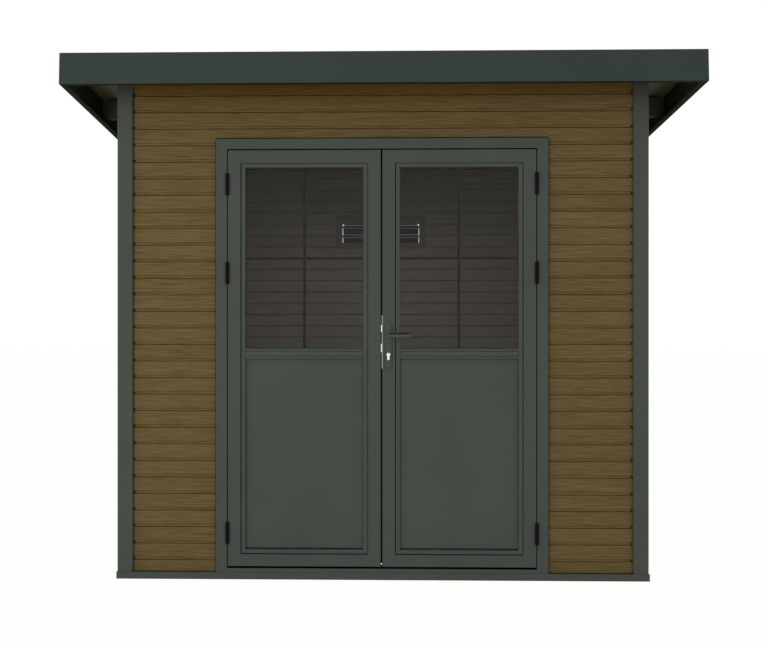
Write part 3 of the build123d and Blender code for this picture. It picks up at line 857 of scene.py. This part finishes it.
def wall_seals():
    """Black strips where boards meet the door frame, and along the ledge of the base under all boards."""
    mesh = bmesh.new()
    depths = (board_face - SEAL_REVEAL, board_face + SEAL_DEPTH)
    strip_reach = LEDGE_STRIP_OFFSET + LEDGE_STRIP_DEPTH
    for side in (-1, 1):
        span = sorted((side * right_jamb_high.x, side * (right_jamb_high.x + SEAL_WIDTH)))
        add_bar(mesh, (span[0], depths[0], base_top), (span[1], depths[1], head_high.z), SEAL_BEVEL)
        span = sorted((side * right_jamb_high.x, side * post_inside))
        add_strip(mesh, span, (board_face - strip_reach, board_face - LEDGE_STRIP_OFFSET))
        span = sorted((side * (side_face + LEDGE_STRIP_OFFSET), side * (side_face + strip_reach)))
        add_strip(mesh, span, (-post_inside, post_inside))
    span = (back_face + LEDGE_STRIP_OFFSET, back_face + strip_reach)
    add_strip(mesh, (-post_inside, post_inside), span)
    make_piece("wall_seals", mesh, [rubber], "house", "vent_dark")


def head_strip():
    """A dark grey strip on top of the door head."""
    mesh = bmesh.new()
    low = (-right_jamb_high.x, board_face - HEAD_SEAL_REVEAL, head_high.z)
    high = (right_jamb_high.x, board_face + SEAL_DEPTH, head_high.z + HEAD_SEAL_HEIGHT)
    add_bar(mesh, low, high, SEAL_BEVEL)
    make_piece("head_strip", mesh, [seal_and_shade_grey], "house", "vent_dark")


wall_seals()
head_strip()


# Door seals: on the jambs and head of the frame, under the leaves and behind the meeting gap

left_stiles_low, left_stiles_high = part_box("left_leaf_stiles")
right_stiles_low, right_stiles_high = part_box("right_leaf_stiles")
leaf_front = left_stiles_low.y
leaf_back = left_stiles_high.y
leaf_foot = left_stiles_low.z
leaf_top = left_stiles_high.z
jamb_inside = head_high.x
seal_front = leaf_front + SEAL_DEPTH
seal_back = seal_front + SEAL_DEPTH
threshold_top = min(
    point.z for point in node_points("door_threshold") if point.z > threshold_foot + SEAL_BEVEL
)
sill_strip_top = threshold_top + LEDGE_STRIP_HEIGHT


def frame_seals():
    """Grey seals on the jambs."""
    mesh = bmesh.new()
    for side in (-1, 1):
        reach = right_stiles_high.x + GAP_CLEARANCE
        span = sorted((side * reach, side * jamb_inside))
        add_bar(mesh, (span[0], seal_front, sill_strip_top), (span[1], seal_back, head_low.z), SEAL_BEVEL)
    make_piece("frame_seals", mesh, [jamb_grey], "house", "vent_dark")


def gap_seals_and_shade():
    """Black seals in the gap over the leaves and on the threshold under them, which also paint the shade in
    these gaps.
    """
    mesh = bmesh.new()
    head_underside = head_high.z - (head_high.z - leaf_top) / 2
    low = (-jamb_inside, seal_front, leaf_top + GAP_CLEARANCE)
    add_bar(mesh, low, (jamb_inside, seal_back, head_underside), SEAL_BEVEL)
    low = (-jamb_inside, leaf_front + SEAL_REVEAL, threshold_top)
    add_bar(mesh, low, (jamb_inside, leaf_back, sill_strip_top), SEAL_BEVEL)
    make_piece("gap_seals_and_shade", mesh, [rubber], "house", "vent_dark")


frame_seals()
gap_seals_and_shade()


def leaf_seals(name, body, low, high, meeting_span):
    """A sweep under the leaf, and a strip that closes its part of the meeting gap from behind."""
    mesh = bmesh.new()
    sweep_foot = sill_strip_top + GAP_CLEARANCE
    add_bar(mesh, (low.x, leaf_back - SEAL_DEPTH, sweep_foot), (high.x, leaf_back, leaf_foot), SEAL_BEVEL)
    strip_low = (meeting_span[0], leaf_back - SEAL_WIDTH, leaf_foot)
    add_bar(mesh, strip_low, (meeting_span[1], leaf_back, leaf_top), SEAL_BEVEL)
    make_piece(name, mesh, [rubber], body, "vent_dark")


leaf_seals(
    "left_leaf_seals", "left_leaf", left_stiles_low, left_stiles_high,
    (left_stiles_high.x, LEFT_MEETING_EDGE),
)
leaf_seals(
    "right_leaf_seals", "right_leaf", right_stiles_low, right_stiles_high,
    (RIGHT_MEETING_EDGE, right_stiles_low.x),
)


# Gaskets and glazing bars of the leaves


def opening_limits(name):
    """The outline of a node seen from the front."""
    low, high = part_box(name)
    return (low.x, high.x), (low.z, high.z), (low.y, high.y)


def sight_limits(beads, span_z):
    """The clear opening inside the beads, over one pane or panel."""
    span_x = opening_limits(beads)[0]
    middle_x = sum(span_x) / 2
    middle_z = sum(span_z) / 2
    low, high = span_z[0] - EDGE_TOLERANCE, span_z[1] + EDGE_TOLERANCE
    points = [p for p in node_points(beads) if low <= p.z <= high]
    inner_x = [p.x for p in points if span_x[0] + EDGE_MARGIN < p.x < span_x[1] - EDGE_MARGIN]
    inner_z = [p.z for p in points if span_z[0] + EDGE_MARGIN < p.z < span_z[1] - EDGE_MARGIN]
    return (
        (max(x for x in inner_x if x < middle_x), min(x for x in inner_x if x > middle_x)),
        (max(z for z in inner_z if z < middle_z), min(z for z in inner_z if z > middle_z)),
    )


def leaf_gaskets_and_shade(side):
    """Black lines between stile, bead, transom and infill, on both faces of the leaf: gaskets, made wider
    on the left and at the foot and with a strip along the panel's foot as painted shade.
    """
    mesh = bmesh.new()
    beads = f"{side}_leaf_beads"
    bead_front, bead_back = opening_limits(beads)[2]
    span_x, glass_z, _ = opening_limits(f"{side}_leaf_glass")
    _, panel_z, panel_y = opening_limits(f"{side}_leaf_panel")
    for face, leaf_face, outward, index in (
        (bead_front, leaf_front, -1, 0),
        (bead_back, leaf_back, 1, 1),
    ):
        line = sorted((face, face + outward * SEAL_REVEAL))
        transom_line = sorted((leaf_face, leaf_face + outward * LINE_REVEAL))
        add_ring(mesh, span_x, (panel_z[0], glass_z[1]), OUTER_GASKET_AND_SHADE, line)
        sight_x, sight_z = sight_limits(beads, panel_z)
        for height in (glass_z[0], panel_z[1]):
            half = TRANSOM_GASKET_WIDTH / 2
            low = (sight_x[0], line[0], height - half)
            add_bar(mesh, low, (sight_x[1], line[1], height + half), half / 2)
        for edge, width in (
            (span_x[0], OUTER_GASKET_AND_SHADE[0]),
            (span_x[1] - OUTER_GASKET_AND_SHADE[1], OUTER_GASKET_AND_SHADE[1]),
            (sight_x[0] - BEAD_LINE_WIDTH, BEAD_LINE_WIDTH),
            (sight_x[1], BEAD_LINE_WIDTH),
        ):
            low = (edge, transom_line[0], panel_z[1])
            add_bar(mesh, low, (edge + width, transom_line[1], glass_z[0]), LINE_REVEAL / 3)
        # Painted shade: a black strip along the foot of the panel.
        panel_foot_shade = sorted((panel_y[index], panel_y[index] + outward * SEAL_REVEAL))
        low = (sight_x[0], panel_foot_shade[0], sight_z[0])
        add_bar(mesh, low, (sight_x[1], panel_foot_shade[1], sight_z[0] + PANEL_FOOT_SHADE_HEIGHT), SEAL_BEVEL)
    make_piece(f"{side}_leaf_gaskets_and_shade", mesh, [rubber], f"{side}_leaf", "vent_dark")


def glazing_bars(side):
    """A cross of dark bars that parts the pane in four, on the room side of the glass."""
    mesh = bmesh.new()
    span_x, span_z, span_y = opening_limits(f"{side}_leaf_glass")
    sight_x, sight_z = sight_limits(f"{side}_leaf_beads", span_z)
    middle_x = sum(sight_x) / 2
    middle_z = sum(sight_z) / 2
    depth = (span_y[1] + BAR_GAP, span_y[1] + BAR_GAP + BAR_DEPTH)
    half = BAR_WIDTH / 2
    upright_low = (middle_x - half, depth[0], sight_z[0])
    add_bar(mesh, upright_low, (middle_x + half, depth[1], sight_z[1]), BAR_BEVEL)
    for start, end in ((sight_x[0], middle_x - half), (middle_x + half, sight_x[1])):
        add_bar(mesh, (start, depth[0], middle_z - half), (end, depth[1], middle_z + half), BAR_BEVEL)
    make_piece(f"{side}_glazing_bars", mesh, [bar_paint], f"{side}_leaf", "black_metal")


for leaf_side in ("left", "right"):
    leaf_gaskets_and_shade(leaf_side)
    glazing_bars(leaf_side)


# Lock details on the meeting stiles

forend_low, forend_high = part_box("lock_forend")
cylinder_low, cylinder_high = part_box("lock_cylinder")


def bolt_spans():
    """Heights of latch and deadbolt, read from the bolts that stand out of the forend."""
    points = [p for p in node_points("lock_forend") if p.x < right_stiles_low.x - SEAL_BEVEL]
    heights = sorted(p.z for p in points)
    lower = [z for z in heights if z < (heights[0] + heights[-1]) / 2]
    upper = [z for z in heights if z > (heights[0] + heights[-1]) / 2]
    return (lower[0], lower[-1]), (upper[0], upper[-1])


def lock_strip():
    """The forend's edge, seen in the meeting gap."""
    mesh = bmesh.new()
    low = (STRIP_SPAN[0], leaf_front - STRIP_REVEAL, forend_low.z)
    add_bar(mesh, low, (STRIP_SPAN[1], leaf_front, forend_high.z), SEAL_BEVEL / 2)
    make_piece("lock_strip", mesh, [zinc], "right_leaf", "lock_steel")


def bolt_fronts():
    """The bright fronts of latch and deadbolt, over the left part of the strip."""
    mesh = bmesh.new()
    front = leaf_front - STRIP_REVEAL - BOLT_REVEAL
    for foot, head in bolt_spans():
        low = (BOLT_SPAN[0], front, foot)
        add_bar(mesh, low, (BOLT_SPAN[1], front + BOLT_DEPTH, head), SEAL_BEVEL / 2)
    make_piece("bolt_fronts", mesh, [lock_steel], "right_leaf", "lock_steel")


def flush_bolt():
    """The small bolt at the foot of the left leaf's meeting edge."""
    mesh = bmesh.new()
    edge = left_stiles_high.x
    half = FLUSH_BOLT_SIZE / 2
    add_turned(
        mesh,
        (edge + half, leaf_front + FLUSH_BOLT_SETBACK, FLUSH_BOLT_HEIGHT),
        (0, 1, 0),
        [(half * FLUSH_BOLT_CROWN_SHARE, 0), (half, half * FLUSH_BOLT_EDGE_SHARE), (half, FLUSH_BOLT_SIZE)],
        SCREW_SIDES,
    )
    make_piece("flush_bolt", mesh, [lock_steel], "left_leaf", "lock_steel")


def lever_top_shade():
    """A dark strip along the upper front edge of the lever, on both sides of the door: painted shade on the
    lever's top.
    """
    mesh = bmesh.new()
    lever_low, lever_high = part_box("lever_handle")
    for face, outward in ((lever_low.y, -1), (lever_high.y, 1)):
        depths = sorted((face + outward * LEVER_SHADE_REVEAL, face - outward * LEVER_SHADE_DEPTH))
        low = (lever_low.x + LEVER_SHADE_INSET, depths[0], lever_high.z - LEVER_SHADE_HEIGHT)
        high = (lever_high.x - LEVER_SHADE_INSET, depths[1], lever_high.z)
        add_bar(mesh, low, high, LEVER_SHADE_REVEAL)
    make_piece("lever_top_shade", mesh, [seal_and_shade_grey], "lever", "vent_dark")


def key_slots():
    """The keyhole on both ends of the lock cylinder."""
    mesh = bmesh.new()
    middle_x = (cylinder_low.x + cylinder_high.x) / 2
    middle_z = cylinder_high.z - (cylinder_high.x - cylinder_low.x) / 2
    width, height = KEY_SLOT
    for face, outward in ((cylinder_low.y, -1), (cylinder_high.y, 1)):
        depths = sorted((face - outward * KEY_SLOT_REVEAL, face + outward * KEY_SLOT_REVEAL))
        low = (middle_x - width / 2, depths[0], middle_z - height / 2)
        high = (middle_x + width / 2, depths[1], middle_z + height / 2)
        add_bar(mesh, low, high, KEY_SLOT_REVEAL / 2)
    make_piece("key_slots", mesh, [rubber], "right_leaf", "vent_dark")


lock_strip()
bolt_fronts()
flush_bolt()
key_slots()
lever_top_shade()


# Louvre blades of the vent in the back wall


def add_plate(mesh, reach, upper, lower):
    """A slanted plate across the vent, between two (y, z) edges."""
    along = Vector((lower[0] - upper[0], lower[1] - upper[1])).normalized()
    across = Vector((-along.y, along.x)) * BLADE_THICKNESS / 2
    section = [
        (upper[0] + across.x, upper[1] + across.y),
        (lower[0] + across.x, lower[1] + across.y),
        (lower[0] - across.x, lower[1] - across.y),
        (upper[0] - across.x, upper[1] - across.y),
    ]
    close_prism(mesh, [[mesh.verts.new((x, y, z)) for y, z in section] for x in (-reach, reach)])


def vent_blades():
    """Two steep blades with a folded lip on the room side, held by tabs, with near-white strips on the
    lip's edges as painted highlights.
    """
    low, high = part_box("vent_louvres")
    vent_opening_top = vent_side_high.z - VENT_SLEEVE
    vent_opening_foot = vent_side_low.z + VENT_SLEEVE
    blades = bmesh.new()
    highlight_strips = bmesh.new()
    front = low.y
    back = high.y
    reach = high.x - BLADE_END_GAP
    for index in range(BLADE_COUNT):
        head = vent_opening_top - BLADE_HEAD - index * BLADE_PITCH
        lip_foot = head - LIP_FACE
        plate_foot = max(head - BLADE_PITCH, vent_opening_foot + BLADE_FOOT_GAP)
        lip_back = front + BLADE_THICKNESS
        add_bar(blades, (-reach, front, lip_foot), (reach, lip_back, head), SHEET_BEVEL)
        add_plate(blades, reach, (front, head), (back, plate_foot))
        for side in (-1, 1):
            span = sorted((side * reach, side * high.x))
            tab_top = head - TAB_DROP
            tab_low = (span[0], front, tab_top - TAB_HEIGHT)
            add_bar(blades, tab_low, (span[1], front + TAB_THICKNESS, tab_top), SHEET_BEVEL)
        for highlight_top, highlight_height in ((head, UPPER_HIGHLIGHT), (lip_foot + LOWER_HIGHLIGHT, LOWER_HIGHLIGHT)):
            highlight_low = (-reach, front - HIGHLIGHT_REVEAL, highlight_top - highlight_height)
            add_bar(highlight_strips, highlight_low, (reach, front, highlight_top), HIGHLIGHT_REVEAL / 3)
    for side in (-1, 1):
        span = sorted((side * (high.x - CORNER_WIDTH), side * high.x))
        corner_low = (span[0], back - TAB_THICKNESS, vent_opening_top - CORNER_HEIGHT)
        add_bar(blades, corner_low, (span[1], back, vent_opening_top), SHEET_BEVEL)
    make_piece("louvre_blades", blades, [blade_paint], "house", "vent_dark", "vent_louvres")
    make_piece("louvre_highlights", highlight_strips, [highlight_paint], "house", "grey_metal")


vent_blades()


# Roof: screws in the troughs of the sheet over each purlin, and foam under the ribs at both ends

sheet_points = node_points("roof_sheet")
sheet_front = min(point.y for point in sheet_points)
sheet_back = max(point.y for point in sheet_points)
front_trough = min(point.z for point in sheet_points if point.y < sheet_front + END_REACH)
back_trough = min(point.z for point in sheet_points if point.y > sheet_back - END_REACH)
sheet_fall = (front_trough - back_trough) / (sheet_back - sheet_front)


def trough_height(y):
    """Height of the sheet's underside in the troughs."""
    return front_trough - sheet_fall * (y - sheet_front)


def sheet_lines(low, high):
    """Places across the roof of the sheet's folds between two heights over the troughs."""
    places = []
    for point in sorted(sheet_points, key=lambda p: p.x):
        rise = point.z - trough_height(point.y)
        if low <= rise <= high and (not places or point.x - places[-1] > SAME_PLACE):
            places.append(point.x)
    return places


trough_lines = sheet_lines(-SHEET_THICKNESS / 2, SHEET_THICKNESS / 2)
rib_height = max(p.z - trough_height(p.y) for p in sheet_points) - SHEET_THICKNESS
crown_lines = sheet_lines(rib_height - SHEET_THICKNESS / 2, rib_height + SHEET_THICKNESS / 2)


def roof_screws():
    mesh = bmesh.new()
    axis = Vector((0.0, sheet_fall, 1.0)).normalized()
    middles = [(a + b) / 2 for a, b in zip(trough_lines[0::2], trough_lines[1::2])]
    outline = [
        (ROOF_WASHER_RADIUS, 0.0),
        (ROOF_WASHER_RADIUS, ROOF_WASHER_HEIGHT / 2),
        (ROOF_SCREW_RADIUS, ROOF_WASHER_HEIGHT),
        (ROOF_SCREW_RADIUS, ROOF_SCREW_HEIGHT),
        (ROOF_SCREW_RADIUS * SCREW_CROWN_SHARE, ROOF_SCREW_HEIGHT + ROOF_WASHER_HEIGHT / 2),
    ]
    for start, end, _ in purlin_notches():
        y = (start + end) / 2
        for x in middles:
            place = (x, y, trough_height(y) + SHEET_THICKNESS)
            add_turned(mesh, place, axis, outline, SCREW_SIDES)
    make_piece("roof_screws", mesh, [zinc], "house", "lock_steel")


def rib_foam():
    """Dark foam that closes each rib of the sheet at its front and back end."""
    mesh = bmesh.new()
    crown = rib_height - FOAM_GAP
    for index in range(len(crown_lines) // 2):
        foot_left, foot_right = trough_lines[2 * index + 1], trough_lines[2 * index + 2]
        crown_left, crown_right = crown_lines[2 * index], crown_lines[2 * index + 1]
        section = [
            (foot_left + FOAM_GAP, 0.0),
            (foot_right - FOAM_GAP, 0.0),
            (crown_right - FOAM_GAP, crown),
            (crown_left + FOAM_GAP, crown),
        ]
        for start, end in (
            (sheet_front + FOAM_GAP, sheet_front + FOAM_LENGTH),
            (sheet_back - FOAM_LENGTH, sheet_back - FOAM_GAP),
        ):
            rings = []
            for y in (start, end):
                rings.append([mesh.verts.new((x, y, trough_height(y) + rise)) for x, rise in section])
            close_prism(mesh, rings)
    make_piece("rib_foam", mesh, [seal_and_shade_grey], "house", "vent_dark")


roof_screws()
rib_foam()


# Finishes of the frame's own pieces

FINISHES = {
    "wall_boards": board_wood,
    "grey_metal": grey_paint,
    "roof_metal": roof_coat,
    "floor_boards": floor_wood,
    "clear_glass": clear_glass,
    "black_metal": black_paint,
    "lock_steel": lock_steel,
    "vent_dark": vent_coat,
}
OTHER_FINISHES = {
    **{f"{side}_fascia": fascia_coat_shaded_below for side in ("front", "left", "right", "back")},
    "roof_purlins": purlin_coat_shaded_below,
    "back_top_rail": rail_paint,
}
for subpart in frame["record"]["subparts"]:
    finish = OTHER_FINISHES.get(subpart["node"], FINISHES[subpart["material_slot"]])
    data = nodes[subpart["node"]].data
    data.materials.clear()
    data.materials.append(finish)


# Stage: floor, sky, lamps and camera


def background_share(tree):
    """1 for rays that show the background: from the camera, in reflections and through glass."""
    path = tree.nodes.new("ShaderNodeLightPath")
    share = path.outputs["Is Camera Ray"]
    for name in ("Is Glossy Ray", "Is Transmission Ray"):
        both = tree.nodes.new("ShaderNodeMath")
        both.operation = "MAXIMUM"
        tree.links.new(share, both.inputs[0])
        tree.links.new(path.outputs[name], both.inputs[1])
        share = both.outputs["Value"]
    return share


def make_floor():
    """A pale floor that shows as white, with the shadow still on it."""
    material = bpy.data.materials.new("floor_white")
    tree = empty_tree(material)
    output = tree.nodes.new("ShaderNodeOutputMaterial")
    mix = tree.nodes.new("ShaderNodeMixShader")
    diffuse = tree.nodes.new("ShaderNodeBsdfDiffuse")
    glow = tree.nodes.new("ShaderNodeEmission")
    part = tree.nodes.new("ShaderNodeMath")
    part.operation = "MULTIPLY"
    part.inputs[1].default_value = FLOOR_WHITE
    diffuse.inputs["Color"].default_value = FLOOR_SHADE
    tree.links.new(background_share(tree), part.inputs[0])
    tree.links.new(part.outputs["Value"], mix.inputs["Fac"])
    tree.links.new(diffuse.outputs["BSDF"], mix.inputs[1])
    tree.links.new(glow.outputs["Emission"], mix.inputs[2])
    tree.links.new(mix.outputs["Shader"], output.inputs["Surface"])
    mesh = bmesh.new()
    corners = [(-1, -1), (1, -1), (1, 1), (-1, 1)]
    mesh.faces.new([mesh.verts.new((x * FLOOR_REACH, y * FLOOR_REACH, 0.0)) for x, y in corners])
    data = bpy.data.meshes.new("floor")
    mesh.to_mesh(data)
    mesh.free()
    data.materials.append(material)
    floor = bpy.data.objects.new("floor", data)
    bpy.context.scene.collection.objects.link(floor)
    floor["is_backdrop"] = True


def make_sky():
    """An even white sky, weaker as light than as background."""
    world = bpy.data.worlds.new("sky")
    bpy.context.scene.world = world
    tree = empty_tree(world)
    output = tree.nodes.new("ShaderNodeOutputWorld")
    sky = tree.nodes.new("ShaderNodeBackground")
    level = tree.nodes.new("ShaderNodeMapRange")
    level.inputs["To Min"].default_value = SKY_STRENGTH
    level.inputs["To Max"].default_value = 1.0
    sky.inputs["Color"].default_value = (1.0, 1.0, 1.0, 1.0)
    tree.links.new(background_share(tree), level.inputs["Value"])
    tree.links.new(level.outputs["Result"], sky.inputs["Strength"])
    tree.links.new(sky.outputs["Background"], output.inputs["Surface"])


def make_lamp(name, power, size, place, target):
    """A large soft lamp that does not mirror in glass and metal."""
    data = bpy.data.lights.new(name, "AREA")
    data.energy = power
    data.size = size
    lamp = bpy.data.objects.new(name, data)
    lamp.location = place
    aim = Vector(target) - Vector(place)
    lamp.rotation_euler = aim.to_track_quat("-Z", "Y").to_euler()
    lamp.visible_camera = False
    lamp.visible_glossy = False
    lamp.visible_transmission = False
    bpy.context.scene.collection.objects.link(lamp)


def make_camera():
    data = bpy.data.cameras.new("camera")
    data.sensor_fit = "HORIZONTAL"
    data.sensor_width = SENSOR_WIDTH_MM
    data.lens = FOCAL_PIXELS / PHOTO_WIDTH * SENSOR_WIDTH_MM
    data.shift_x = (PHOTO_WIDTH / 2 - PRINCIPAL_X) / PHOTO_WIDTH
    data.shift_y = (PRINCIPAL_Y - PHOTO_HEIGHT / 2) / PHOTO_WIDTH
    camera = bpy.data.objects.new("camera", data)
    camera.location = CAMERA_PLACE
    camera.rotation_euler = (math.radians(90 + CAMERA_PITCH), 0.0, math.radians(CAMERA_TURN))
    bpy.context.scene.collection.objects.link(camera)
    bpy.context.scene.camera = camera


make_floor()
make_sky()
make_lamp("soft_lamp", LAMP_POWER, LAMP_SIZE, LAMP_PLACE, LAMP_TARGET)
make_lamp("room_lamp", ROOM_LAMP_POWER, ROOM_LAMP_SIZE, ROOM_LAMP_PLACE, ROOM_LAMP_TARGET)
make_camera()
bpy.context.scene.view_settings.view_transform = "Standard"

boxes = {"cad": cad_box, "visual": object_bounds()}
{name: [list(corner) for corner in box] for name, box in boxes.items()}
